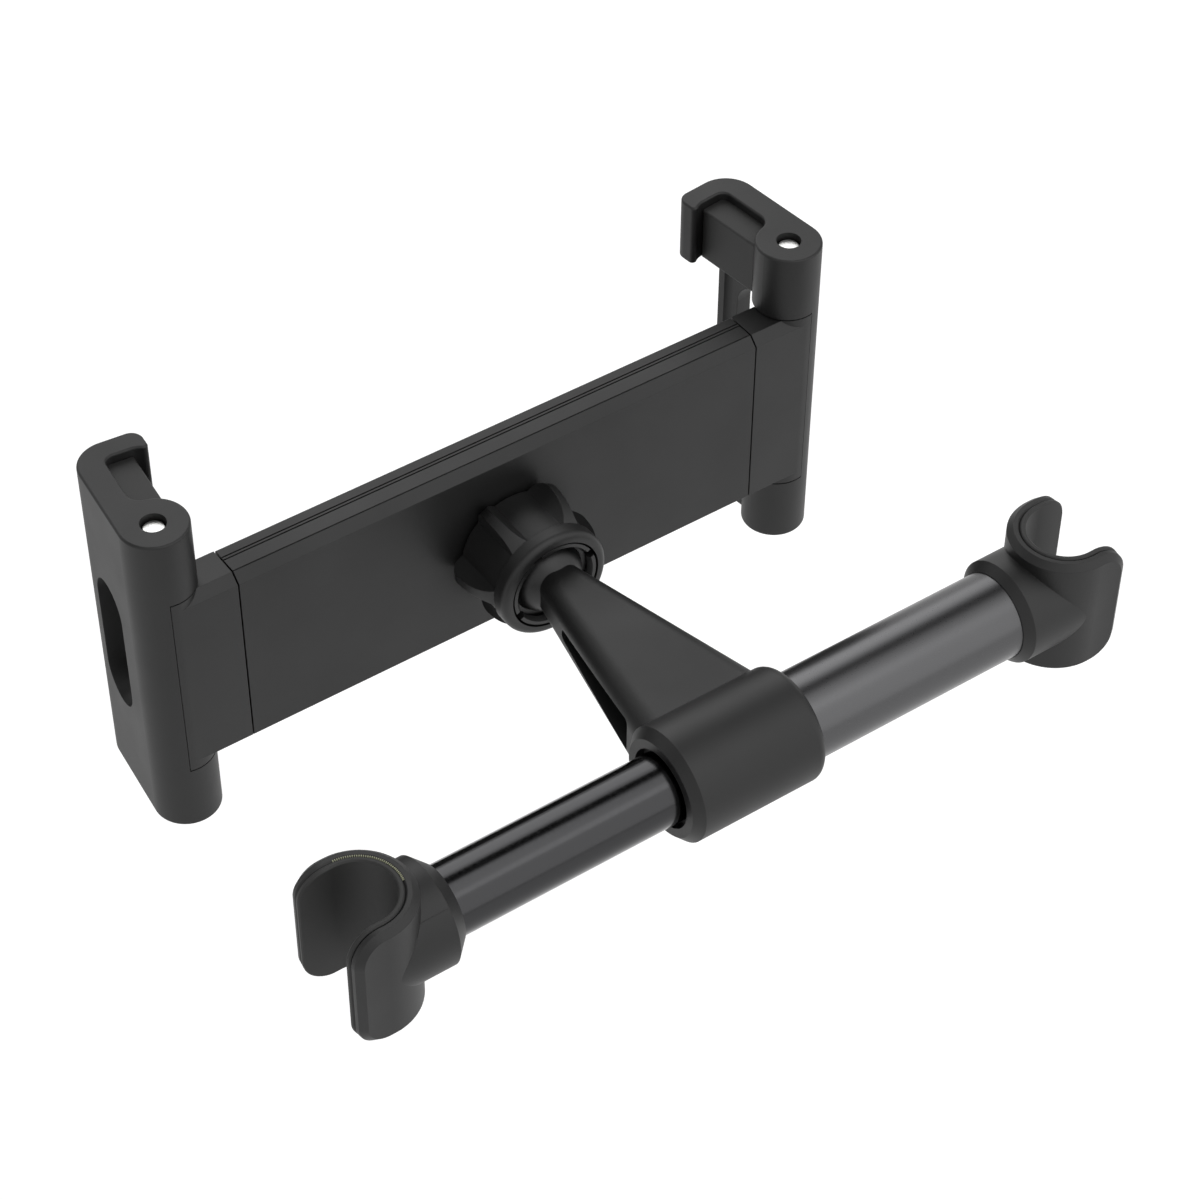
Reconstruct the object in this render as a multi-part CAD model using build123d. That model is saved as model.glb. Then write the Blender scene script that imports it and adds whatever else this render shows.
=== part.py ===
from build123d import *
import os
from math import asin, atan2, cos, pi, radians, sin, sqrt, tan

# Headrest tablet mount, in millimetres.
# The origin is on the rod axis, in the middle plane of the support arm.
# +X runs along the rod to the fixed hook, +Y from the rod to the cradle, +Z up.

# Telescopic rod
OUTER_TUBE_D = 19.0
OUTER_TUBE_WALL = 1.2
INNER_TUBE_WALL = 1.2
ROD_TRAVEL = 44.0
ROD_FIT = 0.05
BUSH_WALL = 0.75
BUSH_LENGTH = 9.0
BUSH_FLANGE = 1.2
STOP_LENGTH = 6.0
STOP_END_WALL = 1.5
STOP_GAP = 0.3
PLUG_LENGTH = 8.0
ROD_SPRING_WIRE_R = 0.6
ROD_SPRING_TURNS = 14
ROD_SPRING_GAP = 0.1
ROD_SPRING_CLEAR = 1.0

# Post hooks
RIGHT_POST_X = 85.7
SLEEVE_TO_HOOK = 6.6
HOOK_BORE_R = 7.75
LINER_WALL = 1.2
LINER_BEVEL = 0.3
GROOVE_BEVEL = 0.45
HOOK_SHELL_R = 11.6
HOOK_HEIGHT = 30.0
HOOK_REACH = 7.8
HOOK_LIP_R = 45.0
HOOK_LIP_SETBACK = 1.0
HOOK_CORNER_R = 6.4
HOOK_BEVEL = 1.3
COLLAR_WALL = 1.95
RIGHT_COLLAR_LENGTH = 17.2
LEFT_COLLAR_LENGTH = 18.0
RIGHT_COLLAR_CHAMFER = 1.8
LEFT_COLLAR_CHAMFER = 3.1
HOOK_SCREW_D = 3.5
HOOK_SCREW_HEAD_D = 6.4
HOOK_SCREW_LENGTH = 9.0
HOOK_SCREW_SINK = 0.25

# Support arm and its sleeve
SLEEVE_WALL = 3.0
SLEEVE_LEFT = 15.4
SLEEVE_RIGHT = 16.5
SLEEVE_LIP = 2.0
SLEEVE_MOUTH_GAP = 1.1
SLEEVE_CHAMFER = 1.9
SLEEVE_ROUND = 2.2
ARM_NECK_Y = 58.5
ARM_NECK_HALF_WIDTH = 4.6
ARM_NECK_HALF_HEIGHT = 5.3
ARM_NECK_ROUND = 3.6
ARM_ROOT_Y = 9.0
ARM_ROOT_HALF_WIDTH = 15.0
ARM_ROOT_HALF_HEIGHT = 8.3
ARM_ROOT_ROUND = 5.2
ARM_ROOT_SHIFT = 1.0
WINDOW_TIP_Y = 46.0
WINDOW_TIP_HALF = 1.3
WINDOW_BASE_Y = 14.8
WINDOW_BASE_HALF = 4.3
WINDOW_ROUND = 1.2
SLEEVE_SCREW_X = 5.0
SLEEVE_SCREW_D = 3.0
SLEEVE_SCREW_HEAD_D = 5.4
SLEEVE_SCREW_SINK = 0.4

# Ball joint
BALL_Y = 63.5
BALL_R = 8.5
BALL_FIT = 0.06
STUD_R = 3.0
STUD_END_Y = 49.0
SEAT_WALL = 1.0
CUP_ANGLE = 38.0
RING_START_ANGLE = 62.0
RING_END_ANGLE = 108.0
SOCKET_R = 11.1
SOCKET_TIP_R = 10.2
SOCKET_MOUTH_R = 9.4
SOCKET_TIP = 5.15
SOCKET_TAPER_START = 1.5
SOCKET_LIP = 4.0
FINGER_SLOTS = 4
FINGER_SLOT = 2.2
FINGER_SLOT_ANGLE = 25.0
FINGER_SLOT_DEPTH = 13.5
SOCKET_FLANGE_R = 16.5
SOCKET_FLANGE = 2.0
SOCKET_SCREWS = 3
SOCKET_SCREW_CIRCLE_R = 13.8
SOCKET_SCREW_D = 2.4
SOCKET_SCREW_HEAD_D = 4.0
SOCKET_SCREW_LENGTH = 3.2

# Lock nut
NUT_GAP = 0.8
NUT_LENGTH = 16.5
NUT_COLLAR = 3.8
NUT_COLLAR_R = 12.9
NUT_NOSE_R = 1.5
NUT_NECK_R = 12.8
NUT_LOBE_R = 15.9
NUT_LOBE_BACK = 4.4
NUT_REAR_R = 13.6
NUT_FLOOR_R = 12.4
NUT_THREAD_R = 11.25
NUT_MOUTH_R = 10.65
NUT_LOBES = 6
FLUTE_R = 8.8
FLUTE_CENTRE_R = 19.5

# Cradle housing
BACK_Y = 75.5
HOUSING_LENGTH = 127.2
HOUSING_HEIGHT = 47.0
HOUSING_DEPTH = 9.25
SEAM_DEPTH = 5.75
SEAM_GROOVE = 0.35
SEAM_RIDGE = 0.45
EDGE_GROOVE = 0.25
BACK_CHAMFER = 2.1
FRONT_ROUND = 0.3
COVER_WALL = 1.6
END_WALL = 1.5
FRONT_PAD = 1.0
FRONT_PAD_MARGIN = 5.0
FRONT_PAD_ROUND = 3.0
BOSS_R = 2.4
BOSS_SPLIT = 4.4
COVER_SCREW_D = 2.2
COVER_SCREW_HEAD_D = 4.0
COVER_SCREW_END = 2.4
COVER_SCREW_SINK = 0.2
COVER_SCREW_XS = (29.0, 56.0)
COVER_GAP = 0.35

# Sliding brackets, their racks and return springs
BRACKET_TRAVEL = 38.0
BAR_CLEAR = 0.3
RACK_OUTER_Z = 9.6
RACK_ENGAGE = 6.0
GUIDE_INNER_Z = 16.0
GUIDE_OUTER_Z = 20.5
GUIDE_REACH = 8.0
PINION_TEETH = 10
PINION_PITCH_R = 4.5
ADDENDUM = 0.6
DEDENDUM = 0.9
TOOTH_SHARE = 0.4
PRESSURE_ANGLE = 20.0
PINION_AXLE_R = 1.5
PINION_FIT = 0.06
SPRING_LANE_Z = 12.8
SPRING_COIL_R = 1.5
SPRING_WIRE_R = 0.25
SPRING_TURNS = 14
SPRING_PEG_R = 1.0
SPRING_LOOP_FIT = 0.1
SPRING_PEG_X = 14.0
SPRING_LUG_GAP = 0.1
SPRING_LUG_WIDTH = 4.0
SPRING_LUG_THICK = 1.0
SPRING_HOOK = 3.0

# Grip wings
BRACKET_LENGTH = 13.4
PIN_R = 2.4
PIN_FIT = 0.06
PIN_HOLE_R = 2.68
PIN_SINK = 1.4
PIN_CHAMFER = 0.3
BARREL_R = 7.25
WING_HEIGHT = 79.5
WING_LEAN = 6.0
WING_LENGTH = 26.7
WING_CORNER_R = 7.0
WING_EDGE_ROUND = 0.5
RIM_WALL = 5.95
RIM_HEIGHT = 14.8
RIM_INNER_R = 2.0
RIM_BLEND_R = 3.0
LIP_WALL = 4.9
LIP_REACH = 15.45
LIP_OUTER_R = 2.8
LIP_TURN = 2.1
LIP_HOLLOW = 3.6
LIP_TIP_R = 0.9
PLATE_WALL = 4.0
PLATE_RETURN = 2.9
KNUCKLE_GAP = 0.3
KNUCKLE_CORE_R = 5.15
SKIN_EDGE_ANGLE = 255.0
SKIN_STOP_GAP = 1.0
KNUCKLE_FRONT_ANGLE = 16.0
PAD_REACH = 12.25
PAD_RECESS = 2.0
PAD_END_GAP = 0.2
PAD_ROUND = 0.5
SLOT_WIDTH = 12.6
SLOT_HEIGHT = 33.0
SLOT_OFFSET = 11.75

# Places worked out from the sizes
OUTER_BORE_R = OUTER_TUBE_D / 2 - OUTER_TUBE_WALL
INNER_R = OUTER_BORE_R - BUSH_WALL - ROD_FIT
COLLAR_R = OUTER_TUBE_D / 2 + COLLAR_WALL
SLEEVE_R = OUTER_TUBE_D / 2 + SLEEVE_WALL
SLEEVE_MOUTH_R = INNER_R + SLEEVE_MOUTH_GAP
SHELL_IN_R = HOOK_BORE_R + LINER_WALL
LEFT_POST_X = SLEEVE_LEFT + SLEEVE_TO_HOOK + ROD_TRAVEL + LEFT_COLLAR_LENGTH
TUBE_RIGHT_END = RIGHT_POST_X - HOOK_SHELL_R
BUSH_LEFT = SLEEVE_LIP - SLEEVE_LEFT
TUBE_LEFT_END = BUSH_LEFT + BUSH_FLANGE
BUSH_RIGHT = TUBE_LEFT_END + BUSH_LENGTH
STOP_LEFT = BUSH_RIGHT + STOP_GAP
STOP_RIGHT = STOP_LEFT + STOP_LENGTH
INNER_LEFT_END = HOOK_SHELL_R - LEFT_POST_X
SEAT_R = BALL_R + BALL_FIT + SEAT_WALL
SOCKET_SEAT_R = SEAT_R + BALL_FIT
NUT_REAR_Y = BACK_Y - NUT_GAP
NUT_FRONT_Y = NUT_REAR_Y - NUT_LENGTH
NUT_SHOULDER_Y = NUT_FRONT_Y + NUT_COLLAR
SEAM_Y = BACK_Y + SEAM_DEPTH
FRONT_Y = BACK_Y + HOUSING_DEPTH
HALF_LENGTH = HOUSING_LENGTH / 2
HALF_HEIGHT = HOUSING_HEIGHT / 2
INSIDE_Y = BACK_Y + COVER_WALL
FLANGE_Y = INSIDE_Y + SOCKET_FLANGE
BAR_BACK_Y = FLANGE_Y + BAR_CLEAR
BAR_FRONT_Y = FRONT_Y - COVER_WALL - BAR_CLEAR
BAR_MID_Y = (BAR_BACK_Y + BAR_FRONT_Y) / 2
RACK_REACH = BRACKET_TRAVEL + RACK_ENGAGE
SPRING_LUG_X = HALF_LENGTH - END_WALL - BRACKET_TRAVEL - SPRING_LUG_WIDTH / 2 - SPRING_LUG_GAP
TOOTH_PITCH = 2 * pi * PINION_PITCH_R / PINION_TEETH
PIN_X = HALF_LENGTH + BRACKET_LENGTH
PIN_Y = BACK_Y + BARREL_R
WING_HALF = WING_HEIGHT / 2
BARREL_FOOT_Z = HALF_HEIGHT + KNUCKLE_GAP
SKIN_R = KNUCKLE_CORE_R + KNUCKLE_GAP
FAR = 200.0


def along_x(radius, x0, x1):
    """A cylinder on the rod axis between two stations."""
    return Pos((x0 + x1) / 2, 0, 0) * Cylinder(radius, x1 - x0, rotation=(0, 90, 0))


def along_y(radius, y0, y1, x=0.0, z=0.0):
    """A cylinder along Y between two stations."""
    return Pos(x, (y0 + y1) / 2, z) * Cylinder(radius, y1 - y0, rotation=(90, 0, 0))


def block(x0, x1, y0, y1, z0, z1):
    """A box between two corners."""
    centre = Pos((x0 + x1) / 2, (y0 + y1) / 2, (z0 + z1) / 2)
    return centre * Box(x1 - x0, y1 - y0, z1 - z0)


def tube_x(outer_r, inner_r, x0, x1):
    """A straight tube on the rod axis."""
    return along_x(outer_r, x0, x1) - along_x(inner_r, x0, x1)


def prism(face, z0, z1):
    """A flat outline in XY raised between two heights."""
    return Pos(0, 0, z0) * extrude(face, z1 - z0)


def turned(points):
    """A solid turned about the Y line of the ball, from (radius, y) points."""
    face = make_face(Polyline(*points, close=True))
    return revolve(face, Axis.Y)


def countersunk_screw(shank_r, head_r, length):
    """A countersunk screw: its head face at z = 0, its point at -length."""
    depth = head_r - shank_r
    head = Pos(0, 0, -depth / 2) * Cone(shank_r, head_r, depth)
    shank = Pos(0, 0, -length / 2) * Cylinder(shank_r, length)
    cross = Box(head_r * 1.1, head_r * 0.26, depth) + Box(head_r * 0.26, head_r * 1.1, depth)
    return head + shank - cross


def countersunk_hole(shank_r, head_r, length):
    """The hole that such a screw sits in, open above its head."""
    depth = head_r - shank_r
    cone = Pos(0, 0, -depth / 2) * Cone(shank_r, head_r, depth)
    above = Pos(0, 0, head_r / 2) * Cylinder(head_r, head_r)
    return cone + above + Pos(0, 0, -length / 2) * Cylinder(shank_r, length)


def coil(length, turns, coil_r, wire_r):
    """An open coil of round wire along +Z."""
    path = Helix(length / turns, length, coil_r)
    section = Plane(origin=path @ 0, z_dir=path % 0) * Circle(wire_r)
    return sweep(section, path=path, is_frenet=True)


def lip_rise(bore_r, lip_r, setback):
    """How far the centre of a flared lip lies from the post's axis, across the hook."""
    return sqrt((bore_r + lip_r) ** 2 - setback ** 2)


def leg_end():
    """The inner corner of the upper leg's end, and the way across its wall from there."""
    across_x = (HOOK_LIP_SETBACK - HOOK_REACH) / HOOK_LIP_R
    across_y = sqrt(1 - across_x ** 2)
    corner_y = lip_rise(HOOK_BORE_R, HOOK_LIP_R, HOOK_LIP_SETBACK) - HOOK_LIP_R * across_y
    return HOOK_REACH, corner_y, across_x, across_y


def c_line(bore_r, lip_r, setback):
    """The C line of a hook that opens to +X: a bore arc and two lips that flare out."""
    rise = lip_rise(bore_r, lip_r, setback)
    corner_x, corner_y, across_x, across_y = leg_end()
    from_x = corner_x - setback
    from_y = corner_y - rise
    along = from_x * across_x + from_y * across_y
    depth = -along - sqrt(along ** 2 - from_x ** 2 - from_y ** 2 + lip_r ** 2)
    start = -asin(setback / (bore_r + lip_r))
    end = atan2(from_x + depth * across_x, -from_y - depth * across_y)
    lip = []
    for angle in (end, (start + end) / 2, start):
        lip.append((setback + lip_r * sin(angle), rise - lip_r * cos(angle)))
    low = [(x, -y) for x, y in reversed(lip)]
    edges = [ThreePointArc(*lip), ThreePointArc(lip[2], (-bore_r, 0), low[0])]
    edges.append(ThreePointArc(*low))
    return edges, lip[0], low[2]


def c_face(inner, outer):
    """The wall between two C lines."""
    inner_edges, inner_top, inner_low = c_line(*inner)
    outer_edges, outer_top, outer_low = c_line(*outer)
    ends = [Line(inner_top, outer_top), Line(inner_low, outer_low)]
    return make_face(inner_edges + outer_edges + ends)


def at_leg_end(point):
    """Whether a point lies on the end of either leg."""
    corner_x, corner_y, across_x, across_y = leg_end()
    out = (point.X - corner_x) * across_y - (abs(point.Y) - corner_y) * across_x
    return abs(out) < 0.01


def leg_corner_waste():
    """What is cut off outside the rounded upper corner of the upper leg's end."""
    corner_x, corner_y, across_x, across_y = leg_end()
    across = (across_x, across_y, 0)
    outward = (across_y, -across_x, 0)
    corner = Plane(origin=(corner_x, corner_y, HOOK_HEIGHT / 2), x_dir=outward, z_dir=across)
    size = HOOK_CORNER_R + 1
    waste = Pos(1 - size / 2, size / 2 - 1) * Rectangle(size, size)
    waste -= Pos(-HOOK_CORNER_R, HOOK_CORNER_R) * Circle(HOOK_CORNER_R)
    return extrude(corner * waste, HOOK_SHELL_R - HOOK_BORE_R + 1, both=True)


def c_wall(inner, outer):
    """The full height of a hook's wall, with rounded corners at the ends of its legs."""
    half = HOOK_HEIGHT / 2
    wall = prism(c_face(inner, outer), -half, half)
    waste = leg_corner_waste()
    for cut in (waste, mirror(waste, Plane.XY)):
        wall -= cut
        wall -= mirror(cut, Plane.XZ)
    return wall


LIP_CENTRE_R = HOOK_BORE_R + HOOK_LIP_R
BORE_LINE = (HOOK_BORE_R, HOOK_LIP_R, HOOK_LIP_SETBACK)
LINER_LINE = (SHELL_IN_R, LIP_CENTRE_R - SHELL_IN_R, HOOK_LIP_SETBACK)
SHELL_LINE = (HOOK_SHELL_R, LIP_CENTRE_R - HOOK_SHELL_R, HOOK_LIP_SETBACK)


def rim_edges(piece, line):
    """The edges where one C-shaped face of a piece meets its top, bottom and leg ends."""
    bore_r, lip_r, setback = line
    rise = lip_rise(bore_r, lip_r, setback)
    chosen = []
    for edge in piece.edges():
        middle = edge @ 0.5
        to_lip = sqrt((middle.X - setback) ** 2 + (abs(middle.Y) - rise) ** 2)
        to_bore = sqrt(middle.X ** 2 + middle.Y ** 2)
        on_face = abs(to_bore - bore_r) < 0.01 or abs(to_lip - lip_r) < 0.01
        upright = abs(edge.tangent_at(0.5).Z) > 0.99
        if on_face and (at_leg_end(middle) or not upright):
            chosen.append(edge)
    return chosen


def hook(tube_r, collar_length, collar_chamfer):
    """A post hook that opens to +X, with the collar that takes the tube behind it."""
    half = HOOK_HEIGHT / 2
    shell = c_wall(LINER_LINE, SHELL_LINE)
    shell = chamfer(rim_edges(shell, SHELL_LINE), HOOK_BEVEL)
    shell = chamfer(rim_edges(shell, LINER_LINE), GROOVE_BEVEL)
    collar = along_x(COLLAR_R, -collar_length, 0)
    collar = chamfer(collar.edges().group_by(Axis.X)[0], collar_chamfer)
    bore_edges, top, low = c_line(*LINER_LINE)
    bore = prism(make_face(bore_edges + [Line(top, low)]), -half, half)
    screw_face = -SHELL_IN_R - HOOK_SCREW_SINK
    body = shell + (collar - bore)
    body -= along_x(tube_r + ROD_FIT, -collar_length - 1, -HOOK_SHELL_R)
    hole = countersunk_hole(HOOK_SCREW_D / 2, HOOK_SCREW_HEAD_D / 2, HOOK_SCREW_LENGTH)
    return body - Pos(screw_face, 0, 0) * Rot(0, 90, 0) * hole


def hook_liner():
    """The rubber liner inside a hook."""
    liner = c_wall(BORE_LINE, LINER_LINE)
    for line in (BORE_LINE, LINER_LINE):
        liner = chamfer(rim_edges(liner, line), LINER_BEVEL)
    return liner


def hook_screw():
    """The screw under the liner that draws the hook onto the plug in its tube."""
    screw = countersunk_screw(HOOK_SCREW_D / 2, HOOK_SCREW_HEAD_D / 2, HOOK_SCREW_LENGTH)
    return Pos(-SHELL_IN_R - HOOK_SCREW_SINK, 0, 0) * Rot(0, 90, 0) * screw


def tube_plug(bore_r):
    """The plug in the end of a tube, threaded for the hook screw."""
    solid = tube_x(bore_r, HOOK_SCREW_D / 2, -HOOK_SHELL_R - PLUG_LENGTH, -HOOK_SHELL_R)
    return solid


def on_right(piece):
    """A hook piece placed on the fixed end of the rod."""
    return Pos(RIGHT_POST_X, 0, 0) * piece


def on_left(piece):
    """A hook piece turned round and placed on the sliding end of the rod."""
    return Pos(-LEFT_POST_X, 0, 0) * Rot(0, 0, 180) * piece


def outer_tube():
    tube = tube_x(OUTER_TUBE_D / 2, OUTER_BORE_R, TUBE_LEFT_END, TUBE_RIGHT_END)
    return tube - sleeve_screw_hole(0)


def inner_tube():
    end = STOP_RIGHT - STOP_END_WALL
    return tube_x(INNER_R, INNER_R - INNER_TUBE_WALL, INNER_LEFT_END, end)


def tube_bush():
    """The flanged bush in the mouth of the outer tube, where the inner tube runs."""
    barrel = along_x(OUTER_BORE_R, TUBE_LEFT_END, BUSH_RIGHT)
    flange = along_x(OUTER_TUBE_D / 2, BUSH_LEFT, TUBE_LEFT_END)
    return barrel + flange - along_x(INNER_R + ROD_FIT, BUSH_LEFT, BUSH_RIGHT)


def rod_stop():
    """The cap on the inner tube's end: it guides the tube and stops it leaving the rod."""
    cap = along_x(OUTER_BORE_R - ROD_FIT, STOP_LEFT, STOP_RIGHT)
    return cap - along_x(INNER_R, STOP_LEFT, STOP_RIGHT - STOP_END_WALL)


def rod_spring():
    """The spring that pushes the sliding hook out against its post."""
    start = STOP_RIGHT + ROD_SPRING_WIRE_R + ROD_SPRING_GAP
    end = TUBE_RIGHT_END - PLUG_LENGTH - ROD_SPRING_WIRE_R - ROD_SPRING_GAP
    coil_r = OUTER_BORE_R - ROD_SPRING_WIRE_R - ROD_SPRING_CLEAR
    wire = coil(end - start, ROD_SPRING_TURNS, coil_r, ROD_SPRING_WIRE_R)
    return Pos(start, 0, 0) * Rot(0, 90, 0) * wire


def sleeve_screw_length():
    return SLEEVE_R - SLEEVE_SCREW_SINK - OUTER_BORE_R - ROD_FIT


def sleeve_screw_hole(fit):
    length = sleeve_screw_length() + OUTER_TUBE_WALL
    hole = countersunk_hole(SLEEVE_SCREW_D / 2 + fit, SLEEVE_SCREW_HEAD_D / 2, length)
    return Pos(SLEEVE_SCREW_X, 0, SLEEVE_SCREW_SINK - SLEEVE_R) * Rot(180, 0, 0) * hole


def sleeve_screw():
    """The screw from below that locks the outer tube in the sleeve."""
    shank_r = SLEEVE_SCREW_D / 2
    screw = countersunk_screw(shank_r, SLEEVE_SCREW_HEAD_D / 2, sleeve_screw_length())
    return Pos(SLEEVE_SCREW_X, 0, SLEEVE_SCREW_SINK - SLEEVE_R) * Rot(180, 0, 0) * screw


def arm_section(y, half_width, half_height, corner_r, shift):
    """A rounded cross-section of the arm."""
    plane = Plane(origin=(shift, y, 0), x_dir=(1, 0, 0), z_dir=(0, 1, 0))
    return plane * RectangleRounded(2 * half_width, 2 * half_height, corner_r)


def arm_window():
    """The three-sided opening through the flank of the arm."""
    outline = [
        (WINDOW_TIP_Y, WINDOW_TIP_HALF),
        (WINDOW_BASE_Y, WINDOW_BASE_HALF),
        (WINDOW_BASE_Y, -WINDOW_BASE_HALF),
        (WINDOW_TIP_Y, -WINDOW_TIP_HALF),
    ]
    face = make_face(Polyline(*[(0, y, z) for y, z in outline], close=True))
    face = fillet(face.vertices(), WINDOW_ROUND)
    return extrude(face, FAR / 2, dir=(1, 0, 0), both=True)


def support_arm():
    """The arm and the sleeve that holds the outer tube, one moulding."""
    neck = (ARM_NECK_HALF_WIDTH, ARM_NECK_HALF_HEIGHT, ARM_NECK_ROUND, 0)
    root = (ARM_ROOT_HALF_WIDTH, ARM_ROOT_HALF_HEIGHT, ARM_ROOT_ROUND, ARM_ROOT_SHIFT)
    beam = loft([arm_section(ARM_ROOT_Y, *root), arm_section(ARM_NECK_Y, *neck)], ruled=True)
    beam -= arm_window()
    sleeve = along_x(SLEEVE_R, -SLEEVE_LEFT, SLEEVE_RIGHT)
    sleeve = chamfer(sleeve.edges().group_by(Axis.X)[0], SLEEVE_CHAMFER)
    sleeve = fillet(sleeve.edges().group_by(Axis.X)[-1], SLEEVE_ROUND)
    body = beam + sleeve
    body -= along_x(OUTER_TUBE_D / 2, BUSH_LEFT, SLEEVE_RIGHT)
    body -= along_x(SLEEVE_MOUTH_R, -SLEEVE_LEFT, BUSH_LEFT)
    body -= Pos(0, BALL_Y, 0) * Sphere(BALL_R)
    body -= along_y(STUD_R, STUD_END_Y, BALL_Y)
    return body - sleeve_screw_hole(0)


def ball_stud():
    """The ball on the stud that is set in the arm's end."""
    return Pos(0, BALL_Y, 0) * Sphere(BALL_R) + along_y(STUD_R, STUD_END_Y, BALL_Y)


def ball_seat(start_angle, end_angle):
    """A zone of the shell round the ball, between two angles from the +Y axis."""
    shell = Sphere(SEAT_R) - Sphere(BALL_R + BALL_FIT)
    reach = 3 * BALL_R
    points = [(0, 0)]
    for share in (0, 0.5, 1):
        angle = radians(start_angle + share * (end_angle - start_angle))
        points.append((reach * sin(angle), reach * cos(angle)))
    return Pos(0, BALL_Y, 0) * (shell & turned(points))


def ball_socket():
    """The slotted collet that holds the ball, with the flange that fixes it in the housing."""
    tip_y = BALL_Y - SOCKET_TIP
    lip = (sqrt(SOCKET_SEAT_R ** 2 - SOCKET_LIP ** 2), BALL_Y - SOCKET_LIP)
    seat_top = (0, BALL_Y + SOCKET_SEAT_R)
    seat_side = (SOCKET_SEAT_R * sin(pi / 4), BALL_Y + SOCKET_SEAT_R * cos(pi / 4))
    outline = [
        (lip[0], lip[1]),
        (SOCKET_MOUTH_R, tip_y),
        (SOCKET_TIP_R, tip_y),
        (SOCKET_R, BALL_Y - SOCKET_TAPER_START),
        (SOCKET_R, INSIDE_Y),
        (SOCKET_FLANGE_R, INSIDE_Y),
        (SOCKET_FLANGE_R, FLANGE_Y),
        (0, FLANGE_Y),
        seat_top,
    ]
    seat = ThreePointArc(seat_top, seat_side, lip)
    body = revolve(make_face([*Polyline(*outline).edges(), seat]), Axis.Y)
    for index in range(FINGER_SLOTS):
        angle = FINGER_SLOT_ANGLE + index * 360 / FINGER_SLOTS
        half = FINGER_SLOT / 2
        slot = block(0, 2 * SOCKET_R, tip_y - 1, tip_y + FINGER_SLOT_DEPTH, -half, half)
        body -= Rot(0, -angle, 0) * slot
    hole = countersunk_hole(SOCKET_SCREW_D / 2, SOCKET_SCREW_HEAD_D / 2, SOCKET_SCREW_LENGTH)
    for place in socket_screw_places():
        body -= place * hole
    return body


def socket_screw_places():
    """Places of the flange screws: their heads are on the flange, inside the housing."""
    places = []
    for index in range(SOCKET_SCREWS):
        turn = Rot(0, 90 + index * 360 / SOCKET_SCREWS, 0)
        places.append(turn * Pos(SOCKET_SCREW_CIRCLE_R, FLANGE_Y, 0) * Rot(-90, 0, 0))
    return places


def socket_screws():
    screw = countersunk_screw(SOCKET_SCREW_D / 2, SOCKET_SCREW_HEAD_D / 2, SOCKET_SCREW_LENGTH)
    return Compound([place * screw for place in socket_screw_places()])


def lock_nut():
    """The fluted nut that squeezes the collet onto the ball."""
    lobe_y = NUT_REAR_Y - NUT_LOBE_BACK
    nose = NUT_COLLAR_R - NUT_NOSE_R
    profile = [
        Line((NUT_MOUTH_R, NUT_FRONT_Y), (nose, NUT_FRONT_Y)),
        ThreePointArc(
            (nose, NUT_FRONT_Y),
            (nose + NUT_NOSE_R * sin(pi / 4), NUT_FRONT_Y + NUT_NOSE_R * (1 - cos(pi / 4))),
            (NUT_COLLAR_R, NUT_FRONT_Y + NUT_NOSE_R),
        ),
        Line((NUT_COLLAR_R, NUT_FRONT_Y + NUT_NOSE_R), (NUT_COLLAR_R, NUT_SHOULDER_Y)),
        Line((NUT_COLLAR_R, NUT_SHOULDER_Y), (NUT_NECK_R, NUT_SHOULDER_Y)),
        ThreePointArc(
            (NUT_NECK_R, NUT_SHOULDER_Y),
            (0.3 * NUT_NECK_R + 0.7 * NUT_LOBE_R, 0.55 * NUT_SHOULDER_Y + 0.45 * lobe_y),
            (NUT_LOBE_R, lobe_y),
        ),
        ThreePointArc(
            (NUT_LOBE_R, lobe_y),
            (0.2 * NUT_REAR_R + 0.8 * NUT_LOBE_R, 0.6 * NUT_REAR_Y + 0.4 * lobe_y),
            (NUT_REAR_R, NUT_REAR_Y),
        ),
        Line((NUT_REAR_R, NUT_REAR_Y), (NUT_THREAD_R, NUT_REAR_Y)),
        Line((NUT_THREAD_R, NUT_REAR_Y), (NUT_THREAD_R, BALL_Y - SOCKET_TAPER_START)),
        Line((NUT_THREAD_R, BALL_Y - SOCKET_TAPER_START), (NUT_MOUTH_R, NUT_FRONT_Y + NUT_NOSE_R)),
        Line((NUT_MOUTH_R, NUT_FRONT_Y + NUT_NOSE_R), (NUT_MOUTH_R, NUT_FRONT_Y)),
    ]
    body = revolve(make_face(profile), Axis.Y)
    scoop = along_y(FLUTE_R, NUT_SHOULDER_Y, BACK_Y, x=FLUTE_CENTRE_R)
    scoop -= along_y(NUT_FLOOR_R, NUT_SHOULDER_Y, BACK_Y)
    for index in range(NUT_LOBES):
        body -= Rot(0, -(index + 0.5) * 360 / NUT_LOBES, 0) * scoop
    return body


def bar_openings():
    """The holes in the housing's ends where the bars of the brackets run."""
    clear = BAR_CLEAR
    cuts = []
    for side in (-1, 1):
        for z0, z1 in (bar_heights(side)):
            low = min(z0, z1) - clear
            high = max(z0, z1) + clear
            x0 = side * (HALF_LENGTH - 2 * END_WALL)
            x1 = side * (HALF_LENGTH + END_WALL)
            cuts.append(block(min(x0, x1), max(x0, x1), BAR_BACK_Y - clear, BAR_FRONT_Y + clear, low, high))
    return cuts


def bar_heights(side):
    """The heights of the rack bar and the guide bar on one side: -1 is left, 1 is right."""
    rack = (-side * (PINION_PITCH_R - ADDENDUM), -side * RACK_OUTER_Z)
    guide = (side * GUIDE_INNER_Z, side * GUIDE_OUTER_Z)
    return rack, guide


def boss_places():
    """Screw bosses stand in the stretches of the spring lanes that no spring sweeps."""
    places = []
    for side in (-1, 1):
        for x in COVER_SCREW_XS:
            places.append((side * x, -side * SPRING_LANE_Z))
    return places


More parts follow.
